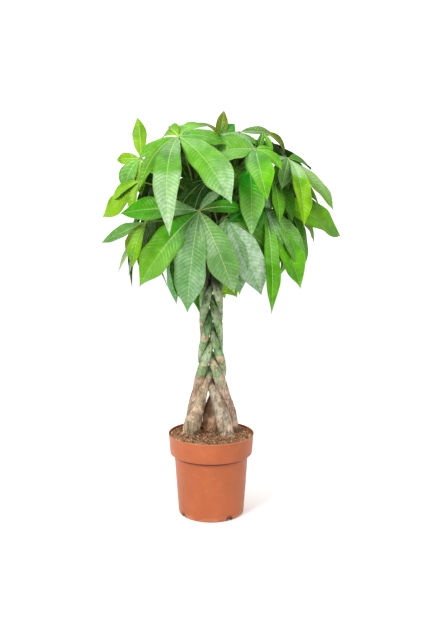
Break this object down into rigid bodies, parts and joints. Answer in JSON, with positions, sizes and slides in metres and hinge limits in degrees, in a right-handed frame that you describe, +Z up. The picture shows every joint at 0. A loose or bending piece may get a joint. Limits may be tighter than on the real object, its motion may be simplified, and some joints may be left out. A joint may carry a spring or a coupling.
{
  "type": "potted braided money tree",
  "caption": "Braided-trunk money tree with hanging hand-shaped leaves, standing in a round plastic nursery pot filled with soil.",
  "frame": {"origin": "centre of the pot's flat foot, on the surface that the pot stands on", "axes": "+Z up along the trunk; the view of the picture looks along +Y, so the front faces -Y"},
  "size_m": [0.5687, 0.5018, 0.9791],
  "materials": {
    "pot_plastic": "satin terracotta-coloured plastic",
    "soil": "dark fibrous peat and bark crumbs",
    "bark": "thin bark, brown at the foot and green above",
    "foliage": "satin green leaf"
  },
  "bodies": {
    "root": {"pot": "pot_plastic", "soil": "soil", "stem_1": "bark", "stem_2": "bark", "stem_3": "bark", "stem_4": "bark", "stem_5": "bark", "leaf_01": "foliage", "leaf_02": "foliage", "leaf_03": "foliage", "leaf_04": "foliage", "leaf_05": "foliage", "leaf_06": "foliage", "leaf_07": "foliage", "leaf_08": "foliage", "leaf_09": "foliage", "leaf_10": "foliage", "leaf_11": "foliage", "leaf_12": "foliage", "leaf_13": "foliage", "leaf_14": "foliage", "leaf_15": "foliage", "leaf_16": "foliage", "leaf_17": "foliage", "leaf_18": "foliage", "leaf_19": "foliage", "leaf_20": "foliage", "leaf_21": "foliage", "leaf_22": "foliage", "leaf_23": "foliage", "leaf_24": "foliage", "leaf_25": "foliage", "leaf_26": "foliage", "leaf_27": "foliage", "leaf_28": "foliage", "leaf_29": "foliage", "leaf_30": "foliage", "leaf_31": "foliage", "leaf_32": "foliage", "leaf_33": "foliage", "leaf_34": "foliage", "leaf_35": "foliage", "leaf_36": "foliage", "leaf_37": "foliage", "leaf_38": "foliage", "leaf_39": "foliage"}
  },
  "joints": []
}
